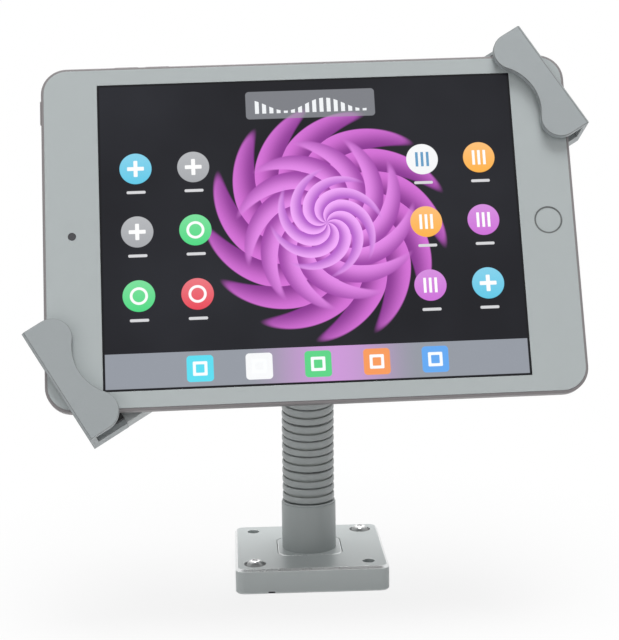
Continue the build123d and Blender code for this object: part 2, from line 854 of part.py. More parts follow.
def make_charge_port():
    outer = extrude(port_outline(running_gap), port_depth - seat_gap)
    inner = extrude(port_outline(port_skin), port_depth)
    tongue = Rectangle(port_length - port_height, port_tongue_height)
    shell = outer - Pos(0, 0, port_skin) * inner + extrude(tongue, port_depth - 2 * port_skin)
    return port_plane() * Pos(0, 0, -port_depth + running_gap) * shell


def make_cells():
    low = -tablet_thickness + tablet_back_wall
    cell = rounded_slab(cell_length, cell_width, tablet_back_wall, low, low + cell_thickness)
    return Compound([Pos(-cell_offset, 0, 0) * cell, Pos(cell_offset, 0, 0) * cell])


def make_board():
    low = -tablet_thickness + tablet_back_wall
    return Pos(board_offset, 0, 0) * slab(board_length, cell_width, low, low + board_thickness)


def save(name, shape):
    export_step(shape, f"parts/{name}.step")


def main():
    os.makedirs("parts", exist_ok=True)
    save("base_plate", make_base_plate())
    save("base_pad", make_base_pad())
    save("base_screws", make_base_screws())
    save("neck_foot", make_neck_foot())
    save("neck_bolt", make_neck_bolt())
    save("neck_sleeve", make_neck_sleeve())

    planes = neck_planes()
    for number in range(ring_count):
        save(f"neck_ring_{number + 1:02d}", planes[number] * make_neck_ring(number))
    save("neck_top", planes[-1] * make_neck_top())

    head = head_plane()
    save("tilt_bracket", head * make_tilt_bracket())
    save("tilt_pin", head * make_tilt_pin())
    save("tilt_nut", head * make_tilt_nut())
    save("tilt_washers", head * make_tilt_washers())
    save("turn_washer", head * make_turn_washer())
    save("turn_screw", head * make_turn_screw())

    arm = arm_plane()
    other_end = turned_plane(arm, 180)
    save("arm_tray", arm * make_arm_tray())
    save("arm_cover", arm * make_arm_cover())
    save("arm_cover_screws", arm * make_arm_cover_screws())
    save("cover_pads", arm * make_cover_pads())
    save("sliding_jaw", arm * make_jaw())
    save("slide_bar", arm * make_slide_bar())
    save("sliding_jaw_screws", arm * make_bar_screws(jaw_bar_screw_places()))
    save("sliding_lip_pad", arm * make_lip_pad())
    save("sliding_back_pad", arm * make_back_pad())
    save("fixed_jaw", other_end * make_jaw())
    save("fixed_bar", other_end * make_fixed_bar())
    fixed_places = jaw_bar_screw_places() + fixed_bar_screw_places()
    save("fixed_jaw_screws", other_end * make_bar_screws(fixed_places))
    save("fixed_lip_pad", other_end * make_lip_pad())
    save("fixed_back_pad", other_end * make_back_pad())
    save("lock_housing", arm * make_lock_housing())
    save("lock_screws", arm * make_lock_screws())
    save("lock_plunger", arm * make_lock_plunger())
    save("lock_core", arm * make_lock_core())

    tablet = tablet_plane()
    save("tablet_shell", tablet * make_tablet_shell())
    save("tablet_bezel", tablet * make_tablet_bezel())
    save("tablet_screen", tablet * make_tablet_screen())
    save("tablet_home_button", tablet * make_home_button())
    save("tablet_home_ring", tablet * make_home_ring())
    save("tablet_front_camera", tablet * make_front_camera())
    save("tablet_rear_camera", tablet * make_rear_camera())
    save("tablet_charge_port", tablet * make_charge_port())
    save("tablet_cells", tablet * make_cells())
    save("tablet_board", tablet * make_board())
    volume_up = top_edge_button_place(volume_up_inset)
    volume_down = top_edge_button_place(volume_down_inset)
    save("tablet_volume_up", tablet * volume_up * side_button())
    save("tablet_volume_down", tablet * volume_down * side_button())
    save("tablet_sleep_button", tablet * sleep_button_place() * side_button())

    glass = tablet.origin
    print(f"neck leans {rest_bend_angle * sum(not joint_is_sideways(n) for n in range(joint_count)):.2f}")
    print(f"middle of the glass at {glass.X:.2f}, {glass.Y:.2f}, {glass.Z:.2f}")


main()
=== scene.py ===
# %% [markdown]
# # A security stand for a tablet
#
# The stand holds a tablet on a counter. A square base is screwed down, a flexible neck of rings
# rises from it, and a diagonal arm grips the tablet by two opposite corners. All the machined
# pieces come from the engineer's model, which loads first and never moves. This script gives
# each of them its finish, and makes again the pieces whose edges and turned shapes deserve
# more care than a machining model gives them.

import json
import math

import bmesh
import bpy
from mathutils import Matrix, Vector


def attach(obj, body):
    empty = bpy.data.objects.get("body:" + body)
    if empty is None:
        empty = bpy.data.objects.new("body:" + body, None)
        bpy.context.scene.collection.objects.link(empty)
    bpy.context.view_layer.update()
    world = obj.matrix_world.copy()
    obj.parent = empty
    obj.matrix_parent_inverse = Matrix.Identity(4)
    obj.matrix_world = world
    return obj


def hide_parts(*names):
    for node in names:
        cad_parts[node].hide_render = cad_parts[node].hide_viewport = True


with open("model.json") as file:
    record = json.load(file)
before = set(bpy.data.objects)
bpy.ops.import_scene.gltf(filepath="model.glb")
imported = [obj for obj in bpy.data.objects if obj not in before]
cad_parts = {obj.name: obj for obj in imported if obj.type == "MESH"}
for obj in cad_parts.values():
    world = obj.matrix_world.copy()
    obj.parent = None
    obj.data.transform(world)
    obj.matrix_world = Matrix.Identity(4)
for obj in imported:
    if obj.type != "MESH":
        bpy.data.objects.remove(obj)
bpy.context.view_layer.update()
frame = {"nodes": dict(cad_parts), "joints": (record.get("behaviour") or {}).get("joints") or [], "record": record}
joints = {joint["name"]: joint for joint in frame["joints"]}
bodies = frame["record"]["behaviour"]["bodies"]
body_of = {node: body for body, nodes in bodies.items() for node in nodes}
slot_of = {part["node"]: part["material_slot"] for part in frame["record"]["subparts"]}
mm = 0.001


def short(values):
    """A row of numbers, rounded for printing."""
    return [round(value, 4) for value in values]


# %% [markdown]
# ## The camera
#
# The picture was taken from a little above the tablet, almost straight on. Its height, distance
# and lens were worked out from the corners of the screen and of the base. A camera can be aimed
# with a constraint, but then it has no roll, so its matrix is written here. A camera looks along
# its own minus Z with Y up, so the columns of the matrix are the picture's right, the picture's
# up, and the way back from the object. Depth of field stays off and the lens isn't shifted.

# %% Camera
camera_x, camera_y, camera_z = -30.1 * mm, -678.4 * mm, 215.8 * mm
pitch = math.radians(8.95)
yaw = math.radians(2.67)
roll = math.radians(-0.83)
camera_data = bpy.data.cameras.new("photo_camera")
camera_data.sensor_width = 36.0
camera_data.lens = 92.06
camera = bpy.data.objects.new("photo_camera", camera_data)
bpy.context.scene.collection.objects.link(camera)
ahead = Vector((math.sin(yaw) * math.cos(pitch), math.cos(yaw) * math.cos(pitch), -math.sin(pitch)))
level_right = ahead.cross(Vector((0, 0, 1))).normalized()
level_up = level_right.cross(ahead)
right = level_right * math.cos(roll) + level_up * math.sin(roll)
up = level_up * math.cos(roll) - level_right * math.sin(roll)
camera.matrix_world = Matrix((
    (right.x, up.x, -ahead.x, camera_x),
    (right.y, up.y, -ahead.y, camera_y),
    (right.z, up.z, -ahead.z, camera_z),
    (0, 0, 0, 1),
))
bpy.context.scene.camera = camera
bpy.context.scene.view_settings.view_transform = "Standard"
print("camera", round(camera.location.length, 3), "m from the middle of the base")

# %% [markdown]
# ## Writing shader maths as sums
#
# A finish is a small sum: a colour, plus a little noise, times a mask. Drawn as nodes that is
# hard to read, so a small class stands for one socket and turns +, -, * and / into Math nodes,
# also where a plain number comes first. Every other node comes from one method that takes the
# node's type, its settings and its inputs.

# %% Sockets that can be added and multiplied
class Wire:
    """One socket of a node tree, for use in sums."""

    def __init__(self, wiring, socket):
        self.wiring = wiring
        self.socket = socket

    def math(self, operation, *others, backwards=False):
        values = [self, *others]
        if backwards:
            values.reverse()
        return self.wiring.node("ShaderNodeMath", {"operation": operation}, dict(enumerate(values)))

    def __add__(self, other):
        return self.math("ADD", other)

    def __sub__(self, other):
        return self.math("SUBTRACT", other)

    def __rsub__(self, other):
        return self.math("SUBTRACT", other, backwards=True)

    def __mul__(self, other):
        return self.math("MULTIPLY", other)

    def __truediv__(self, other):
        return self.math("DIVIDE", other)

    def __rtruediv__(self, other):
        return self.math("DIVIDE", other, backwards=True)

    __radd__ = __add__
    __rmul__ = __mul__

    def size(self):
        return self.math("ABSOLUTE")

    def most(self, other):
        return self.math("MAXIMUM", other)

    def under(self, limit):
        """1 below the limit and 0 above it."""
        return self.math("LESS_THAN", limit)

    def step(self, low, high):
        """0 below low and 1 above high, with a smooth ramp between."""
        return self.wiring.node("ShaderNodeMapRange", {"interpolation_type": "SMOOTHSTEP"},
                                {"Value": self, "From Min": low, "From Max": high})


print("sockets can be used in sums")

# %% [markdown]
# ## A node tree
#
# The world and every material have a node tree, so what they share is one class. Settings come
# before values, because some nodes only grow their inputs once they know what they do. A ramp's
# stops are a setting too.

# %% Node tree
class Wiring:
    """A node tree that is put together from sums."""

    def __init__(self, tree):
        self.tree = tree

    def node(self, kind, settings=None, values=None, output=0):
        node = self.tree.nodes.new(kind)
        for name, setting in (settings or {}).items():
            if name == "stops":
                ramp = node.color_ramp
                ramp.elements[0].position = setting[0][0]
                ramp.elements[1].position = setting[-1][0]
                for place, _ in setting[1:-1]:
                    ramp.elements.new(place)
                for element, (_, colour) in zip(ramp.elements, setting):
                    element.color = (*colour, 1)
            elif name == "blend":
                node.color_ramp.interpolation = setting
            else:
                setattr(node, name, setting)
        for name, value in (values or {}).items():
            self.put(node.inputs[name], value)
        return Wire(self, node.outputs[output])

    def put(self, socket, value):
        if isinstance(value, Wire):
            self.tree.links.new(value.socket, socket)
        elif socket.type == "RGBA" and len(value) == 3:
            socket.default_value = (*value, 1)
        else:
            socket.default_value = value

    def looked_at(self):
        """1 for rays from the camera, off gloss or through glass, and 0 for rays that only light."""
        from_camera, off_gloss, through_glass = (
            self.node("ShaderNodeLightPath", output=ray)
            for ray in ("Is Camera Ray", "Is Glossy Ray", "Is Transmission Ray"))
        return from_camera.most(off_gloss).most(through_glass)


print("node trees can be wired")

# %% [markdown]
# ## A finish
#
# A finish is a material with its node tree and the few textures that this stand needs. They all
# read a piece's own place in space, so a pattern needs no unwrapping and runs on over an edge.

# %% Finish of a surface
class Finish(Wiring):
    """A material whose surface is put together from a few sums."""

    def __init__(self, name):
        self.material = bpy.data.materials.new(name)
        self.material.use_nodes = True
        super().__init__(self.material.node_tree)
        self.shader = self.tree.nodes["Principled BSDF"]

    def set(self, name, value):
        self.put(self.shader.inputs[name], value)

    def place(self):
        return self.node("ShaderNodeTexCoord", output="Object")

    def noise(self, scale, detail=2.0, place=None):
        return self.node("ShaderNodeTexNoise", None,
                         {"Vector": place or self.place(), "Scale": scale, "Detail": detail})

    def vector(self, operation, *values):
        """Vector maths. Its second output holds what comes out as one number."""
        return self.node("ShaderNodeVectorMath", {"operation": operation}, dict(enumerate(values)),
                         output=1 if operation in ("DOT_PRODUCT", "LENGTH") else 0)

    def ramp(self, value, stops, blend="LINEAR"):
        return self.node("ShaderNodeValToRGB", {"stops": stops, "blend": blend}, {"Fac": value})

    def mix(self, amount, first, second):
        return self.node("ShaderNodeMix", {"data_type": "RGBA"}, {0: amount, 6: first, 7: second}, 2)

    def bump(self, height, strength, distance):
        bump = self.node("ShaderNodeBump", None,
                         {"Height": height, "Strength": strength, "Distance": distance})
        self.set("Normal", bump)


print("finishes can be put together")

# %% [markdown]
# ## Lamps
#
# A product picture of silver metal wants big soft lights, because metal shows what it reflects.
# A small lamp would be a hard spark on every rib of the neck, so each lamp is a wide rectangle.
# The largest one hangs above and a little to the right, so that the top of the base is bright
# and the jaws throw a soft shade down the tablet. Weak ones at the left and behind keep the
# rest open.

# %% Lamps
lamp_target = Vector((0.0, -0.03, 0.11))


def soft_lamp(name, place, size, power):
    """A rectangular lamp that faces the middle of the stand."""
    data = bpy.data.lights.new(name, "AREA")
    data.shape = "RECTANGLE"
    data.size, data.size_y = size
    data.energy = power
    lamp = bpy.data.objects.new(name, data)
    bpy.context.scene.collection.objects.link(lamp)
    lamp.location = place
    lamp.rotation_mode = "QUATERNION"
    lamp.rotation_quaternion = (lamp_target - Vector(place)).to_track_quat("-Z", "Y")


soft_lamp("top_lamp", (0.15, -0.35, 2.2), (1.0, 1.0), 32.0)
soft_lamp("left_lamp", (-0.95, -0.8, 0.35), (0.6, 0.8), 1.6)
soft_lamp("back_lamp", (0.1, 0.9, 0.8), (0.8, 0.5), 1.4)
print("lamps:", round(sum(light.energy for light in bpy.data.lights), 1), "W in all")

# %% [markdown]
# ## The white background
#
# Behind the stand there is nothing but white. A bright world would also flood the metal with
# light, and a wall would catch shadows. So the world is white to the camera, to reflections and
# to light through glass, and it lights the object only softly. Light Path tells these rays apart.

# %% World
soft_level, white_level = 0.24, 1.0
world = bpy.data.worlds.new("studio")
bpy.context.scene.world = world
world.use_nodes = True
sky = Wiring(world.node_tree)
background = sky.tree.nodes["Background"]
strength = sky.node("ShaderNodeMapRange", None,
                    {"Value": sky.looked_at(), "To Min": soft_level, "To Max": white_level})
sky.put(background.inputs["Strength"], strength)
sky.put(background.inputs["Color"], (1, 1, 1))
print("the world lights with", soft_level, "and shows as", white_level)

# %% [markdown]
# ## Where the pieces are
#
# Nothing here is measured again. The joints of the engineer's model already say where the neck
# bends, which way the screen faces and which way the arm runs, so those directions are read
# from them. The arm's own space has x along the arm, y across it and z out of the screen.

# %% Directions from the joints
def joint_place(name):
    return Vector(joints[name]["pos_m"])


def joint_axis(name):
    return Vector(joints[name]["axis"]).normalized()


def space(origin, x_way, z_way):
    """The matrix of a space with that origin, x along x_way and z along z_way."""
    z_way = z_way.normalized()
    y_way = z_way.cross(x_way).normalized()
    x_way = y_way.cross(z_way)
    return Matrix.Translation(origin) @ Matrix((x_way, y_way, z_way)).transposed().to_4x4()


glass_middle = joint_place("holder_turn")
screen_out = joint_axis("holder_turn")
screen_right = joint_axis("sleep_press")
arm_way = joint_axis("jaw_slide")
tablet_space = space(glass_middle, screen_right, screen_out)
arm_space = space(glass_middle, arm_way, screen_out)
screen_up = tablet_space.to_3x3().col[1]
print("the screen faces", short(screen_out), "from", short(glass_middle))

# %% [markdown]
# ## Finishes: silver coat and bare aluminium
#
# Base and neck are coated silver grey. Close up such a coat is a fine grain of metal flakes
# under a dull film, so it is partly metallic, its colour and roughness wander a little, and a
# very low bump breaks up the highlights. The rings and sleeves of the neck get darker copies of
# the coat: painted shade, because the neck stands in the tablet's shade. The same recipe with
# other numbers gives the blasted aluminium of the jaws and the extruded aluminium of the arm,
# whose grain is long in one direction. The last ones are for the edges: a paler one that is a
# painted highlight and partly coat rubbed thin by hands, and a darker one round the jaws that is
# painted shade.

# %% Metal recipe
grain_depth = 0.0001
grain_detail = 3.0
blotch_scale = 38.0
colour_spread = 2.2
fine_roughness, broad_roughness = 0.16, 0.12


def tinted(colour, factor):
    """A colour made lighter or darker, but nowhere brighter than white."""
    return tuple(min(1, channel * factor) for channel in colour)


def metal(name, colour, metallic, roughness, grain, wander=0.07, stretch=(1, 1, 1), turn=(0, 0, 0),
          bump=0.2):
    """A grainy metal, whose colour wanders and whose grain may be stretched along one way."""
    finish = Finish(name)
    place = finish.node("ShaderNodeMapping", None,
                        {"Vector": finish.place(), "Rotation": turn, "Scale": stretch})
    fine = finish.noise(grain, grain_detail, place)
    fine_wave = fine - 0.5
    broad_wave = finish.noise(blotch_scale) - 0.5
    shade = fine_wave * (wander * 2) + broad_wave * wander + 0.5
    darker = tinted(colour, 1 - colour_spread * wander)
    lighter = tinted(colour, 1 + colour_spread * wander)
    finish.set("Base Color", finish.mix(shade, darker, lighter))
    finish.set("Metallic", metallic)
    finish.set("Roughness", fine_wave * fine_roughness + broad_wave * broad_roughness + roughness)
    finish.bump(fine, bump, grain_depth)
    return finish.material


print("the grain of a finish is", grain_depth / mm, "mm deep")

# %% Metal finishes
arm_turn = arm_space.to_3x3().inverted().to_euler()
finishes = {
    "silver_coat": metal("silver_coat", (0.61, 0.655, 0.655), 0.12, 0.36, 2600),
    # The rings take a darker copy of the silver coat: painted shade of the tablet over the neck.
    "ring_metal": metal("shaded_ring_coat", (0.37, 0.395, 0.395), 0.2, 0.40, 2600),
    "silver_alloy": metal("blasted_alloy", (0.37, 0.40, 0.41), 0.2, 0.50, 1900, wander=0.09, bump=0.3),
    "bar_alloy": metal("drawn_alloy", (0.62, 0.63, 0.64), 0.9, 0.34, 900, stretch=(0.04, 1, 1),
                       turn=arm_turn),
    "bright_steel": metal("bright_steel", (0.60, 0.60, 0.61), 1.0, 0.22, 3000, wander=0.03, bump=0.01),
    "lock_chrome": metal("lock_chrome", (0.54, 0.55, 0.56), 1.0, 0.14, 2400, wander=0.02, bump=0.01),
    "lock_brass": metal("key_brass", (0.70, 0.55, 0.28), 1.0, 0.30, 2200, wander=0.05, bump=0.04),
    # The shell is a darker grey than its bare silver: painted shade for its lower edge, which faces away from the
    # lamps.
    "tablet_alloy": metal("tablet_alloy", (0.235, 0.22, 0.225), 0.6, 0.46, 3400, wander=0.05),
    # The home button's ring is dark and blotchy: a painted reflection of a room round it.
    "ring_steel": metal("button_ring_reflection", (0.15, 0.16, 0.16), 0.9, 0.30, 260, wander=0.3, bump=0.01),
}
# A darker copy of the silver coat for the neck's sleeves: painted shade, because the neck stands in the tablet's
# shade.
shaded_neck_coat = metal("shaded_neck_coat", (0.39, 0.42, 0.42), 0.15, 0.40, 2600)
extruded_alloy = metal("extruded_alloy", (0.43, 0.455, 0.46), 0.45, 0.40, 1500, wander=0.12,
                       stretch=(0.015, 1, 1), turn=arm_turn, bump=0.3)
# Paler edge finishes: a painted highlight along the edges, and partly coat rubbed thin there.
rubbed_and_highlit_coat = metal("rubbed_and_highlit_coat", (0.84, 0.86, 0.86), 0.75, 0.28, 2600)
rubbed_and_highlit_alloy = metal("rubbed_and_highlit_alloy", (0.54, 0.56, 0.555), 0.45, 0.36, 2600)
# Painted shade along the bevelled edges of the jaws.
jaw_edge_shade = metal("jaw_edge_shade", (0.22, 0.235, 0.235), 0.2, 0.55, 1900, wander=0.09, bump=0.3)
print(len(finishes), "metals for the engineer's slots, and five more for bodies and edges")

# %% [markdown]
# ## Finishes: rubber, nylon, glass and board
#
# The pads are moulded rubber: very dark, dull, and grainy. The turn and tilt washers are milky
# nylon. The tablet's face is painted glass, so its white is even and a clear coat on top gives
# the gloss. The lens is nearly black and very smooth. The wrapped cells and the board are inside
# the tablet. None of these is metallic, so they share a second, simpler recipe.

# %% Rubber, plastic and glass finishes
mould_detail = 4.0
mould_blotch_scale = 30.0
mould_roughness = 0.1
darkest, lightest = 0.8, 1.2
coat_roughness = 0.05


def plastic(name, colour, roughness, grain, wander=0.05, coat=0.0, bump=0.1):
    """A moulded or painted surface. coat is how strong the clear coat on top is."""
    finish = Finish(name)
    fine = finish.noise(grain, mould_detail)
    broad_wave = finish.noise(mould_blotch_scale) - 0.5
    shade = (fine - 0.5) * wander + broad_wave * wander + 0.5
    finish.set("Base Color", finish.mix(shade, tinted(colour, darkest), tinted(colour, lightest)))
    finish.set("Roughness", broad_wave * mould_roughness + roughness)
    finish.set("Coat Weight", coat)
    finish.set("Coat Roughness", coat_roughness)
    finish.bump(fine, bump, grain_depth)
    return finish.material


finishes.update({
    "rubber_black": plastic("pad_rubber", (0.035, 0.035, 0.037), 0.78, 1500, wander=0.5, bump=0.5),
    "nylon_white": plastic("washer_nylon", (0.78, 0.77, 0.73), 0.45, 900, wander=0.1),
    "white_glass": plastic("painted_glass", (0.50, 0.545, 0.55), 0.30, 600, wander=0.03, coat=0.4,
                           bump=0.0),
    "lens_black": plastic("lens", (0.012, 0.012, 0.02), 0.08, 800, wander=0.1, coat=1.0, bump=0.0),
    "cell_grey": plastic("cell_wrap", (0.16, 0.16, 0.17), 0.5, 1200, wander=0.2),
    "board_green": plastic("board", (0.04, 0.17, 0.08), 0.45, 1500, wander=0.6),
})
print(len(finishes), "finishes so far")

# %% [markdown]
# ## The picture on the screen
#
# A lit screen is a dark, glossy sheet that glows. Its picture could be an image file, but here
# it is drawn with sums of distances, which are sharp at any size and need no file. A point's
# place in millimetres from the middle of the glass gives circles and rounded boxes, and
# repeating that place every few centimetres gives a whole grid of them at once.

# %% Shapes for the screen
mm_in_metre = 1000.0
edge_blur = 0.12
screen = Finish("lit_screen")
from_middle = screen.vector("SUBTRACT", screen.place(), glass_middle)
across = screen.vector("DOT_PRODUCT", from_middle, screen_right) * mm_in_metre
upward = screen.vector("DOT_PRODUCT", from_middle, screen_up) * mm_in_metre


def distance(x, y):
    return (x * x + y * y).math("SQRT")


def disc(x, y, radius):
    """1 inside a circle round zero, 0 outside it."""
    return 1 - distance(x, y).step(radius - edge_blur, radius + edge_blur)


def rounded_box(x, y, half_x, half_y, corner):
    """1 inside a rounded box round zero, 0 outside it."""
    over_x = (x.size() - (half_x - corner)).most(0.0)
    over_y = (y.size() - (half_y - corner)).most(0.0)
    return disc(over_x, over_y, corner)


def near(value, place, reach):
    """1 where a value is less than reach from a place, 0 farther away."""
    return (value - place).size().under(reach)


def is_number(value, number):
    """1 where a whole number is that one, 0 elsewhere."""
    return near(value, number, 0.5)


def repeat(value, pitch, first):
    """The distance from the nearest place of a row of places, and the number of that place."""
    shifted = (value - first) / pitch + 0.5
    number = shifted.math("FLOOR")
    return (shifted - number - 0.5) * pitch, number


def colour_of(number, colours):
    """Picks one of a list of colours by its number."""
    stops = [(place / len(colours), colour) for place, colour in enumerate(colours)]
    return screen.ramp((number + 0.5) / len(colours), stops, "CONSTANT")


print("shapes on the screen have edges", 2 * edge_blur, "mm wide")

# %% [markdown]
# ## The swirl
#
# The picture is a made-up one: a swirl of violet bands on a dark, slightly mottled ground. The
# fraction of a point's angle gives straight bands, and adding its distance to the angle twists
# them. Each band ends in a rounded tip, because the distance grows towards the band's sides.
# Three layers with fewer and fewer arms lie on each other, and the smallest is the brightest.

# %% Ground and swirl
ground_stops = [(0.3, (0.004, 0.004, 0.007)), (0.75, (0.016, 0.017, 0.023))]
mottle_scale, mottle_detail = 14.0, 3.0
picture = screen.ramp(screen.noise(mottle_scale, mottle_detail), ground_stops)
swirl_right, swirl_high = 6.0, 2.0
swirl_x, swirl_y = across - swirl_right, upward - swirl_high
swirl_far = distance(swirl_x, swirl_y)
swirl_turn = swirl_y.math("ARCTAN2", swirl_x)
tip_roundness = 46.0
fade_inside, fade_outside = 1.5, 1.0
for arms, twist, reach, dark, bright in (
        (13, 0.085, 46.0, (0.22, 0.03, 0.25), (0.60, 0.15, 0.61)),
        (11, -0.11, 34.0, (0.30, 0.05, 0.34), (0.70, 0.23, 0.73)),
        (8, 0.16, 21.0, (0.40, 0.10, 0.52), (0.82, 0.38, 0.88))):
    band = (swirl_turn * (arms / math.tau) + swirl_far * twist).math("FRACT")
    tip = swirl_far + (band - 0.5) * (band - 0.5) * tip_roundness
    colour = screen.mix(band.step(0.02, 0.95), dark, bright)
    shown = 1 - tip.step(reach - fade_inside, reach + fade_outside)
    picture = screen.mix(shown, picture, colour)
print("the swirl takes", len(screen.tree.nodes), "nodes")

# %% [markdown]
# ## The strip and its keys
#
# Along the bottom runs a grey strip, tinted violet below the swirl as if it were see-through. On
# it stand five rounded keys, each with a square outline in place of a picture. They are one key
# that is repeated, and the number of the place that a point is nearest to picks its colour.

# %% Strip and keys
strip_top, tint_reach, strip_end = -46.0, 34.0, 55.0
tint = 1 - swirl_x.size().step(0.0, tint_reach)
strip_colour = screen.mix(tint, (0.27, 0.29, 0.33), (0.55, 0.29, 0.62))
picture = screen.mix(upward.under(strip_top), picture, strip_colour)
key_colours = [(0.10, 0.66, 0.80), (0.85, 0.86, 0.87), (0.10, 0.60, 0.22), (0.85, 0.30, 0.10),
               (0.12, 0.36, 0.80)]
key_pitch, first_key, key_row = 22.0, -44.0, -52.6
key_half, outline_half, hollow_half = 5.0, 2.7, 1.6
key_x, key_number = repeat(across, key_pitch, first_key)
key_y = upward - key_row
on_strip = near(across, 0.0, strip_end)
key = rounded_box(key_x, key_y, key_half, key_half, 1.4) * on_strip
picture = screen.mix(key, picture, colour_of(key_number, key_colours))
outline_mark = (rounded_box(key_x, key_y, outline_half, outline_half, 0.4)
                - rounded_box(key_x, key_y, hollow_half, hollow_half, 0.3))
picture = screen.mix(outline_mark * on_strip, picture, (0.88, 0.9, 0.92))
print("the strip has", len(key_colours), "keys")

# %% [markdown]
# ## The round buttons
#
# On each side of the swirl stand two columns of three round buttons. Each has one of three plain
# marks, a ring, bars or a cross, and a short plain bar under it in place of a word. Again it is
# one button that is repeated. Its column and row give a number, which picks colour and mark.

# %% Round buttons
column_pitch, first_column, middle_column = 22.0, -66.0, 3.0
row_pitch, first_row, middle_row = 25.0, -25.0, 1.0
button_radius, button_lift = 6.1, 1.0
caption_half, caption_drop = 3.6, 8.4
mark_half, thin_half, ring_outside, ring_inside = 3.2, 0.75, 3.4, 2.4
button_colours = [
    (0.06, 0.62, 0.20), (0.82, 0.83, 0.84), (0.10, 0.52, 0.72), (0.72, 0.05, 0.08),
    (0.88, 0.40, 0.05), (0.34, 0.35, 0.37), (0.86, 0.70, 0.10), (0.55, 0.14, 0.62),
]
place_x, column = repeat(across, column_pitch, first_column)
place_y, row = repeat(upward, row_pitch, first_row)
button_y = place_y - button_lift
in_wings = near((column - middle_column).size(), 2.5, 0.6) * near(row, middle_row, 1.5)
button_number = (column * 3.0 + row * 5.0).math("FLOORED_MODULO", float(len(button_colours)))
sheen = (place_y * 0.01 + 0.06).most(0.0)
button_colour = screen.mix(sheen, colour_of(button_number, button_colours), (1, 1, 1))
picture = screen.mix(disc(place_x, button_y, button_radius) * in_wings, picture, button_colour)

mark_kind = button_number.math("FLOORED_MODULO", 3.0)
ring_mark = disc(place_x, button_y, ring_outside) - disc(place_x, button_y, ring_inside)
bar_mark = rounded_box(place_x, button_y, mark_half, 2.9, 0.3) * (
    place_x * 0.48 + 0.25).math("FRACT").under(0.5)
cross_mark = rounded_box(place_x, button_y, mark_half, thin_half, 0.3).most(
    rounded_box(place_x, button_y, thin_half, mark_half, 0.3))
mark = ring_mark * is_number(mark_kind, 0.0)
mark = mark.most(bar_mark * is_number(mark_kind, 1.0))
mark = mark.most(cross_mark * is_number(mark_kind, 2.0)) * in_wings
on_pale_button = is_number(button_number, 1.0)
picture = screen.mix(mark, picture, screen.mix(on_pale_button, (0.9, 0.9, 0.9), (0.12, 0.3, 0.5)))
caption = rounded_box(place_x, place_y + caption_drop, caption_half, 0.55, 0.5) * in_wings
picture = screen.mix(caption, picture, (0.62, 0.62, 0.64))
print("the buttons have", len(button_colours), "colours and 3 marks")

# %% [markdown]
# ## The card of bars, and the lit sheet
#
# At the top a see-through card holds a row of bars, whose heights follow a wave. That completes
# the picture. The sheet glows with it, and the same picture, much darker, is its own colour, so
# that light on it doesn't wash it out. A thin clear coat gives the gloss of the glass.

# %% Card and lit sheet
card_right, card_high, card_strength = 2.0, 50.0, 0.6
bars_per_mm, bar_share = 0.36, 0.55
wave_rate, wave_lift, wave_height, bar_foot = 0.21, 1.3, 2.4, 46.8
card_x, card_y = across - card_right, upward - card_high
card = rounded_box(card_x, card_y, 25.0, 5.6, 1.4)
picture = screen.mix(card * card_strength, picture, (0.30, 0.31, 0.34))
bars = (across * bars_per_mm).math("FRACT").under(bar_share)
bar_top = ((across * wave_rate).math("SINE") + wave_lift) * wave_height + bar_foot
graph = rounded_box(card_x, card_y, 22.0, 3.4, 0.3) * bars * upward.under(bar_top)
picture = screen.mix(graph, picture, (0.80, 0.82, 0.84))

half_wide, half_high, own_share = 79.2, 59.3, 0.25
lit = rounded_box(across, upward, half_wide, half_high, 0.2)
picture = screen.mix(lit, (0.004, 0.004, 0.006), picture)
screen.set("Base Color", screen.mix(own_share, (0.0, 0.0, 0.0), picture))
screen.set("Roughness", 0.32)
screen.set("Specular IOR Level", 0.1)
screen.set("Coat Weight", 0.2)
screen.set("Coat Roughness", 0.06)
screen.set("Emission Color", picture)
screen.set("Emission Strength", 0.92)
finishes["screen_glass"] = screen.material
print("the screen's picture takes", len(screen.tree.nodes), "nodes")

# %% [markdown]
# ## Giving the engineer's pieces their finishes
#
# Each node says which material slot it takes. The first step is to put the right finish on all
# of them, so that nothing is left in the plain colour that it was loaded with.

# %% Finish every node
for name, node in frame["nodes"].items():
    node.data.materials.clear()
    node.data.materials.append(finishes[slot_of[name]])
print("finished", len(frame["nodes"]), "nodes")

# %% [markdown]
# ## From a mesh to a piece
#
# Every new piece is shaped as a bmesh and ends the same way: smooth shading that stops at sharp
# edges, its finish, and the body that it moves with. The Weighted Normal modifier lets the large
# faces set the shading, so that a narrow bevel doesn't bend the light on the flat beside it.
# The engineer's meshes are loose triangles, so a copy of one has its points joined first.
#
# Spinning and extruding leave the faces in an order that changes from run to run. The faces are
# sorted by their centres before they become a mesh, so that each run gives the same one.

# %% Helpers for every piece
weld = 0.000002
smooth_angle = math.radians(32.0)


def add_piece(bm, name, body, slot, finish=None, replaced=()):
    """Turns a bmesh into a finished piece that rides on a body."""
    in_order = sorted(bm.faces, key=lambda face: tuple(face.calc_center_median()))
    rank = {face: place for place, face in enumerate(in_order)}
    bm.faces.sort(key=rank.get)
    mesh = bpy.data.meshes.new(name)
    bm.to_mesh(mesh)
    bm.free()
    mesh.shade_smooth()
    mesh.set_sharp_from_angle(angle=smooth_angle)
    piece = bpy.data.objects.new(name, mesh)
    bpy.context.scene.collection.objects.link(piece)
    for material in finish or [finishes[slot]]:
        mesh.materials.append(material)
    shading = piece.modifiers.new("even_shading", "WEIGHTED_NORMAL")
    shading.keep_sharp = True
    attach(piece, body)
    if replaced:
        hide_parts(*replaced)


def merged_copy(node):
    """A bmesh of one of the engineer's pieces, with its loose triangles joined."""
    bm = bmesh.new()
    bm.from_mesh(frame["nodes"][node].data)
    bmesh.ops.remove_doubles(bm, verts=bm.verts, dist=weld)
    return bm


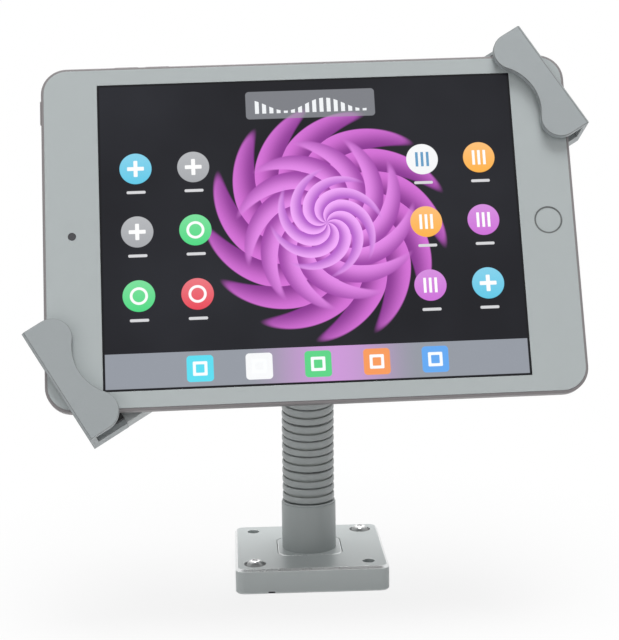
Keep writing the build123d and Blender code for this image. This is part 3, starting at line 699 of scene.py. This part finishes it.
print("points closer than", weld / mm, "mm are joined")

# %% [markdown]
# ## Softened edges
#
# A machining model has knife edges, and real metal never has. The light that runs along a
# slightly rounded edge is what makes a piece look solid. A Bevel modifier would trip over the
# model's many triangles. So the larger pieces are copied, their triangles are merged into clean
# faces, and every sharp edge gets a small rounded bevel. The bevel operator is told its segments,
# profile and material, because its own defaults differ from the editor's. The new faces may take
# a finish of their own: a paler one that is a painted highlight and partly coat rubbed thin by
# hands, or on the jaws a darker one that is painted shade. On the base the sloping top edge takes
# the painted highlight too.

# %% Helper for softened edges
flat_angle = math.radians(0.5)
sharp_angle = math.radians(34.0)
upright, level = 0.25, 0.97


def soften(node, width, finish=None, edge_finish=None):
    """Replaces a piece by a copy with rounded edges, width millimetres wide."""
    bm = merged_copy(node)
    bmesh.ops.dissolve_limit(bm, angle_limit=flat_angle, verts=bm.verts, edges=bm.edges)
    edges = [edge for edge in bm.edges if edge.is_manifold and edge.calc_face_angle(0) > sharp_angle]
    bevelled = bmesh.ops.bevel(bm, geom=edges, offset=width * mm, offset_type="OFFSET", segments=2,
                               profile=0.5, affect="EDGES", clamp_overlap=True, material=-1)["faces"]
    sloping = [face for face in bm.faces if upright < face.normal.z < level]
    # Index 1 takes the edge finish: a painted highlight, or painted shade on the jaws.
    for face in bevelled + (sloping if node == "base_plate" else []):
        face.material_index = 1
    print(node, "has", len(edges), "edges softened,", len(bm.faces), "faces")
    finish = finish or finishes[slot_of[node]]
    add_piece(bm, node + "_softened", body_of[node], slot_of[node], [finish, edge_finish or finish],
              [node])


print("edges of over", round(math.degrees(sharp_angle)), "degrees get softened")

# %% Soften the machined pieces
for finish, edge_finish, widths in (
        (None, None, {"base_pad": 0.2, "lock_housing": 0.25, "lock_plunger": 0.2, "tilt_nut": 0.3,
                      "tilt_pin": 0.3, "tablet_shell": 0.25, "tablet_bezel": 0.2}),
        (None, rubbed_and_highlit_coat, {"base_plate": 0.35, "neck_foot": 0.3, "tilt_bracket": 0.4}),
        (None, jaw_edge_shade, {"fixed_jaw": 0.35, "sliding_jaw": 0.35}),
        (extruded_alloy, rubbed_and_highlit_alloy, {"arm_tray": 0.3, "arm_cover": 0.2}),
        (shaded_neck_coat, None, {"neck_sleeve": 0.2, "neck_top": 0.3})):
    for node, width in widths.items():
        soften(node, width, finish, edge_finish)

# %% [markdown]
# ## The outline of a ring
#
# The flexible neck is a row of turned rings. Each has two crowned ribs with a narrow groove
# between them. A lathe makes this shape from one outline, so the outline is spun round an axis
# instead of being joined from many small solids. A ring's two bare ends face the next rings
# across the gap that lets the neck bend. A plug on top of each ring enters a recess under the
# next one, with room for the bend, so no light shows through. The last ring has a recess at both
# ends, because the plug over it hangs down from the upper sleeve. The numbers are millimetres.

# %% Outlines to be spun
rib, bore = 11.0, 1.0
crown, shoulder, arc_points = 0.42, 1.1, 5
groove_half, groove_deep = 0.38, 0.9
recess, recess_deep = 9.2, 2.0
plug, plug_reach = 8.4, 0.5
end_width = 1.6
ring_steps = 64


def added(bm, old):
    """The vertices of a bmesh that are not among the old ones."""
    return [vert for vert in bm.verts if vert not in old]


def spin_outline(bm, outline, steps, closed=True):
    """Spins points of (radius, height), in millimetres, a full turn round z."""
    old = set(bm.verts)
    verts = [bm.verts.new((radius * mm, 0, height * mm)) for radius, height in outline]
    edges = [bm.edges.new(pair) for pair in zip(verts, verts[1:] + (verts[:1] if closed else []))]
    bmesh.ops.spin(bm, geom=verts + edges, cent=(0, 0, 0), axis=(0, 0, 1), dvec=(0, 0, 0),
                   angle=math.tau, steps=steps, use_merge=True)
    bmesh.ops.remove_doubles(bm, verts=added(bm, old), dist=weld)


def ring_outline(low, high, top):
    """A ring's outline between two heights. top is its plug's, or its upper recess's floor."""
    points = [(bore, low + recess_deep), (recess, low + recess_deep), (recess, low),
              (rib - end_width, low)]
    waist = (low + high) / 2
    quarter = [math.pi / 2 * turn / (arc_points - 1) for turn in range(arc_points)]
    for start, end in ((low, waist - groove_half), (waist + groove_half, high)):
        points += [(rib - crown + crown * math.sin(angle), start + shoulder - shoulder * math.cos(angle))
                   for angle in quarter]
        points += [(rib - crown + crown * math.cos(angle), end - shoulder + shoulder * math.sin(angle))
                   for angle in quarter]
        if end < high:
            points += [(rib - groove_deep, end), (rib - groove_deep, end + 2 * groove_half)]
    points.append((rib - end_width, high))
    points += [(plug, high), (plug, top)] if top > high else [(recess, high), (recess, top)]
    return points + [(bore, top)]


print("a ring is spun in", ring_steps, "steps, out to", rib, "mm")

# %% [markdown]
# ## The rings of the neck
#
# Each ring is spun upright and then moved to its own place, with its axis from one joint to the
# next. The groove, the recess and the plug are painted darker: painted shade, where little light
# reaches. The flat ends that face each other across the gaps are painted paler: painted light, so
# that the narrow gaps between the rings don't go black. The gap between two rings is read from the
# engineer's model.

# %% Neck rings
neck_names = sorted((name for name in joints if name.startswith("neck_")),
                    key=lambda name: joint_place(name).z)
neck_places = [joint_place(name) for name in neck_names]
ring_nodes = sorted(node for node in frame["nodes"] if node.startswith("neck_ring_"))
# Painted shade for grooves, recesses and plugs, and painted light for the ring ends in the gaps.
groove_shade = metal("ring_groove", (0.30, 0.32, 0.31), 0.3, 0.6, 2600)
lit_ring_end = metal("lit_ring_end", (0.60, 0.62, 0.62), 0.3, 0.5, 2600)
rib_margin, end_tolerance = 0.05, 0.02
inside_ribs = rib - crown - rib_margin


def paint_ring(bm, low, high):
    """Gives a ring's faces inside its ribs the painted shade, and its flat ends the painted light."""
    for face in bm.faces:
        centre = face.calc_center_median() / mm
        radius = math.hypot(centre.x, centre.y)
        if radius < inside_ribs:
            from_end = min(abs(centre.z - low), abs(centre.z - high))
            face.material_index = 2 if from_end < end_tolerance and radius > recess else 1


for number, node in enumerate(ring_nodes):
    start, end = neck_places[number], neck_places[number + 1]
    own_space = space(start, Vector((1, 0, 0)), end - start)
    corners = [own_space.inverted() @ vertex.co for vertex in frame["nodes"][node].data.vertices]
    low, high = min(c.z for c in corners) / mm, max(c.z for c in corners) / mm
    half_gap = (end - start).length / mm - high
    is_last = number == len(ring_nodes) - 1
    top = high - recess_deep if is_last else high + 2 * half_gap + plug_reach
    bm = bmesh.new()
    spin_outline(bm, ring_outline(low, high, top), ring_steps)
    bmesh.ops.recalc_face_normals(bm, faces=bm.faces)
    paint_ring(bm, low, high)
    bmesh.ops.transform(bm, matrix=own_space, verts=bm.verts)
    add_piece(bm, node + "_turned", body_of[node], "ring_metal",
              [finishes["ring_metal"], groove_shade, lit_ring_end], [node])
print(len(ring_nodes), "rings turned, with half gaps of", round(half_gap, 2), "mm")

# %% [markdown]
# ## The plugs of the two sleeves
#
# The sleeves at the ends of the neck stay as the engineer made them, apart from their edges, so
# their plugs are pieces of their own. Each starts a little inside its sleeve, crosses the gap
# and enters the recess of the nearest ring.

# %% Sleeve plugs
plug_root = 0.2
plug_far, plug_near = half_gap + plug_root, -half_gap - plug_reach
for node, joint, away in (("neck_sleeve", neck_places[0], Vector((0, 0, -1))),
                          ("neck_top", neck_places[-1], joint_place("head_tilt") - neck_places[-1])):
    bm = bmesh.new()
    spin_outline(bm, [(bore, plug_near), (plug, plug_near), (plug, plug_far), (bore, plug_far)],
                 ring_steps)
    bmesh.ops.recalc_face_normals(bm, faces=bm.faces)
    bmesh.ops.transform(bm, matrix=space(joint, Vector((1, 0, 0)), away), verts=bm.verts)
    # The plugs take the painted shade of the grooves.
    add_piece(bm, node + "_plug", body_of[node], "ring_metal", [groove_shade])
print("sleeve plugs are", round(plug_far - plug_near, 2), "mm long")

# %% [markdown]
# ## Finding the screws
#
# The engineer's screws are plain studs, because their heads only have to seat. One node may hold
# several, so its mesh is split into islands, by walking from vertex to vertex along the edges.
# The box of an island says where its screw stands, how wide its head is and how long it is.

# %% Screw boxes
def screw_boxes(node, own_space):
    """The lowest and highest corner of each screw of a node, in that space and always in one order."""
    bm = merged_copy(node)
    bmesh.ops.transform(bm, matrix=own_space.inverted(), verts=bm.verts)
    left, boxes = set(bm.verts), []
    while left:
        island, to_visit = set(), [left.pop()]
        while to_visit:
            vert = to_visit.pop()
            island.add(vert)
            neighbours = {edge.other_vert(vert) for edge in vert.link_edges} & left
            left -= neighbours
            to_visit += neighbours
        boxes.append(([min(v.co[i] for v in island) for i in range(3)],
                      [max(v.co[i] for v in island) for i in range(3)]))
    bm.free()
    return sorted(boxes)


base_boxes = screw_boxes("base_screws", Matrix.Identity(4))
print("the base has", len(base_boxes), "screws of its own")

# %% [markdown]
# ## Screws with a hexagon socket
#
# Real screws have a socket for a key. A boolean could cut it, but it leaves messy faces round
# the hexagon. So each screw is spun from an outline that stops short of the axis. The open rim in
# the middle of its head is then pushed into a hexagon and drawn down into the head, so the
# socket shares its edges with the crown.

# %% Helper for a socket
screw_steps = 36
half_side = 30.0
shortest_edge = 0.01 * mm


def add_screw(bm, place, outline, socket, depth):
    """Spins one screw and cuts its socket. The outline starts at the socket's rim, in millimetres."""
    old = set(bm.verts)
    spin_outline(bm, outline, screw_steps, closed=False)
    rim_edges = [edge for edge in bm.edges if edge.is_boundary and edge.verts[0] not in old
                 and edge.calc_length() > shortest_edge]
    for vert in {vert for edge in rim_edges for vert in edge.verts}:
        turn = math.degrees(math.atan2(vert.co.y, vert.co.x)) % (2 * half_side) - half_side
        reach = socket * mm / math.cos(math.radians(turn))
        vert.co.xy = vert.co.xy.normalized() * reach
    wall = bmesh.ops.extrude_edge_only(bm, edges=rim_edges)["geom"]
    low = [item for item in wall if isinstance(item, bmesh.types.BMVert)]
    bmesh.ops.translate(bm, vec=(0, 0, -depth * mm), verts=low)
    bmesh.ops.edgeloop_fill(bm, edges=[item for item in wall if isinstance(item, bmesh.types.BMEdge)
                                       and all(vert in low for vert in item.verts)])
    bmesh.ops.transform(bm, matrix=place, verts=added(bm, old))


print("a screw is spun in", screw_steps, "steps")

# %% [markdown]
# ## The outline of a screw
#
# Domed and flat heads differ only in the first part of the outline. A dome falls away with the
# square of the distance from its flat top, and a flat head has a small chamfer. Head and length
# come from the engineer's screw, and the shank is as thick as the thread, which isn't cut.

# %% Helpers for whole screws
dome_flat, dome_steps = 1.3, 5
chamfer, shank_chamfer = 0.25, 0.3
socket_share = 0.62


def screw_outline(head, head_height, shank, length, socket, dome):
    """Half a screw's outline from its socket's rim to its tip, with its top at height 0."""
    outline = [(socket / math.cos(math.radians(half_side)), 0)]
    if dome:
        flat = socket * dome_flat
        for step in range(1, dome_steps + 1):
            share = step / dome_steps
            outline.append((flat + (head - flat) * share, -dome * share ** 2))
    else:
        outline += [(head - chamfer, 0), (head, -chamfer)]
    return outline + [(head, -head_height), (shank, -head_height), (shank, shank_chamfer - length),
                      (shank - shank_chamfer, -length), (0, -length)]


def socket_screws(node, own_space, head_height, shank, socket, dome=0.0, heads_up=True, finish=None):
    """Makes all the screws of a node again. Their heads face up or down in that space."""
    bm = bmesh.new()
    boxes = screw_boxes(node, own_space)
    for low, high in boxes:
        head = (high[0] - low[0]) / 2 / mm
        length = (high[2] - low[2]) / mm
        head_top = ((low[0] + high[0]) / 2, (low[1] + high[1]) / 2, high[2] if heads_up else low[2])
        place = own_space @ Matrix.Translation(head_top)
        if not heads_up:
            place = place @ Matrix.Rotation(math.pi, 4, "X")
        outline = screw_outline(head, head_height, shank, length, socket, dome)
        add_screw(bm, place, outline, socket, head_height * socket_share)
    bmesh.ops.recalc_face_normals(bm, faces=bm.faces)
    add_piece(bm, node + "_keyed", body_of[node], slot_of[node], finish, [node])
    print(node, "made again:", len(boxes), "screws")


print("sockets are", socket_share, "of a head deep")

# %% [markdown]
# ## Domed screws of the base, and the other screws
#
# The two screws in the base are domed and polished. A dome mirrors the lamps in its middle and the
# darker things round it at its rim, and a plain studio has too few of those. So their colour is a
# painted highlight, near white in the middle, and a painted reflection that darkens outwards from
# each screw's axis, with a little noise in the line. The screw places are as far from the middle
# both ways, so folding the base's four corners onto one finds the axis.

# %% Screws
hole_from_middle = 23.6 * mm
bright_radius, dark_radius = 2.1, 3.1
uneven_scale, uneven_reach = 900.0, 0.8
dome_steel = Finish("dome_steel")
folded = dome_steel.vector("ABSOLUTE", dome_steel.place())
from_screw = dome_steel.vector("SUBTRACT", folded, (hole_from_middle, hole_from_middle, 0))
flat_place = dome_steel.vector("MULTIPLY", from_screw, (1, 1, 0))
from_axis = dome_steel.vector("LENGTH", flat_place) * mm_in_metre
uneven = (dome_steel.noise(uneven_scale) - 0.5) * uneven_reach
rim_reflection = (from_axis + uneven).step(bright_radius, dark_radius)
dome_steel.set("Base Color", dome_steel.mix(rim_reflection, (0.95, 0.95, 0.95), (0.30, 0.31, 0.31)))
dome_steel.set("Metallic", 0.7)
dome_steel.set("Roughness", rim_reflection * 0.12 + 0.18)
socket_screws("base_screws", Matrix.Identity(4), 2.2, 2.0, 1.15, dome=1.9,
              finish=[dome_steel.material])
socket_screws("arm_cover_screws", arm_space, 1.1, 1.5, 1.0)
for node, head_height, shank, socket in (
        ("fixed_jaw_screws", 1.4, 2.0, 1.5), ("sliding_jaw_screws", 1.4, 2.0, 1.5),
        ("lock_screws", 1.1, 1.5, 1.0), ("turn_screw", 2.6, 3.0, 2.0)):
    socket_screws(node, arm_space, head_height, shank, socket, heads_up=False)

# %% [markdown]
# ## Washers under the base screws, as painted shadow
#
# Each dome head sits in a shallow round seat. A thin, dark grey washer round it shows as a dark
# ring: painted shadow, standing in for the shade in the seat. A torus would be too round for a
# punched washer, so it is a small outline with one bevelled corner, spun round the screw's axis
# and just wider than the head.

# %% Base washers
seat_shadow_washer = plastic("seat_shadow_washer", (0.13, 0.135, 0.135), 0.6, 1500, wander=0.3, bump=0.3)
washer_steps, washer_thick, washer_side, seat_depth = 40, 0.5, 0.35, 2.3
bm = bmesh.new()
for low, high in base_boxes:
    head = (high[0] - low[0]) / 2 / mm
    inner, bevel_start, outer = head + 0.05, head + 0.5, head + 0.7
    old = set(bm.verts)
    spin_outline(bm, [(inner, 0), (outer, 0), (outer, washer_side), (bevel_start, washer_thick),
                      (inner, washer_thick)], washer_steps)
    seat = ((low[0] + high[0]) / 2, (low[1] + high[1]) / 2, high[2] - seat_depth * mm)
    bmesh.ops.translate(bm, verts=added(bm, old), vec=seat)
bmesh.ops.recalc_face_normals(bm, faces=bm.faces)
add_piece(bm, "base_screw_shadow_rings", "base", "rubber_black", [seat_shadow_washer])
print(len(base_boxes), "washers")

# %% [markdown]
# ## The tablet's sound holes
#
# On the short edge beside the charge port the tablet has two rows of small drilled holes. They
# are far too small to cut into the engineer's shell, so each is a short dark plug whose face
# lies a hair above the metal. Its black is painted shade, standing in for the dark inside of a
# hole, and from outside it reads as a hole.

# %% Sound holes
holes_in_row, first_hole, hole_pitch = 11, 11.0, 1.7
hole_radius, hole_depth, hole_sides = 0.5 * mm, 0.3 * mm, 12
short_edge, edge_height = 101.47 * mm, -2.33 * mm
bm = bmesh.new()
for side in (-1, 1):
    for number in range(holes_in_row):
        hole = bmesh.ops.create_cone(bm, cap_ends=True, segments=hole_sides, radius1=hole_radius,
                                     radius2=hole_radius, depth=hole_depth)["verts"]
        bmesh.ops.rotate(bm, verts=hole, cent=(0, 0, 0), matrix=Matrix.Rotation(math.pi / 2, 3, "Y"))
        from_port = side * (first_hole + hole_pitch * number) * mm
        bmesh.ops.translate(bm, verts=hole, vec=(short_edge, from_port, edge_height))
bmesh.ops.transform(bm, matrix=tablet_space, verts=bm.verts)
add_piece(bm, "tablet_sound_hole_shades", "holder", "lens_black")
print(2 * holes_in_row, "sound holes")

# %% [markdown]
# ## Floor
#
# The floor is a plain pale plane. Most of what the camera sees of it is its own white, and the
# rest is real light on it, so a soft shadow of the stand stays. Farther out it is all its own
# white, so that no line shows where the floor ends and the background starts.

# %% Floor
floor_half = 6.0
shadow_share = 0.16
shadow_start, shadow_end = 0.05, 0.2
floor_finish = Finish("pale_floor")
floor_finish.set("Base Color", (0.9, 0.9, 0.9))
floor_finish.set("Roughness", 0.9)
from_stand = floor_finish.vector("LENGTH", floor_finish.place())
own_white = from_stand.step(shadow_start, shadow_end) * shadow_share + (1 - shadow_share)
glow = floor_finish.node("ShaderNodeEmission", None, {"Color": (1, 1, 1), "Strength": 1.0})
lit_floor = Wire(floor_finish, floor_finish.shader.outputs[0])
blend = floor_finish.node("ShaderNodeMixShader", None,
                          {0: floor_finish.looked_at() * own_white, 1: lit_floor, 2: glow})
floor_finish.put(floor_finish.tree.nodes["Material Output"].inputs["Surface"], blend)
bm = bmesh.new()
bmesh.ops.create_grid(bm, x_segments=1, y_segments=1, size=floor_half)
floor_mesh = bpy.data.meshes.new("floor")
bm.to_mesh(floor_mesh)
bm.free()
floor = bpy.data.objects.new("floor", floor_mesh)
bpy.context.scene.collection.objects.link(floor)
floor_mesh.materials.append(floor_finish.material)
print("floor laid,", 2 * floor_half, "m wide")
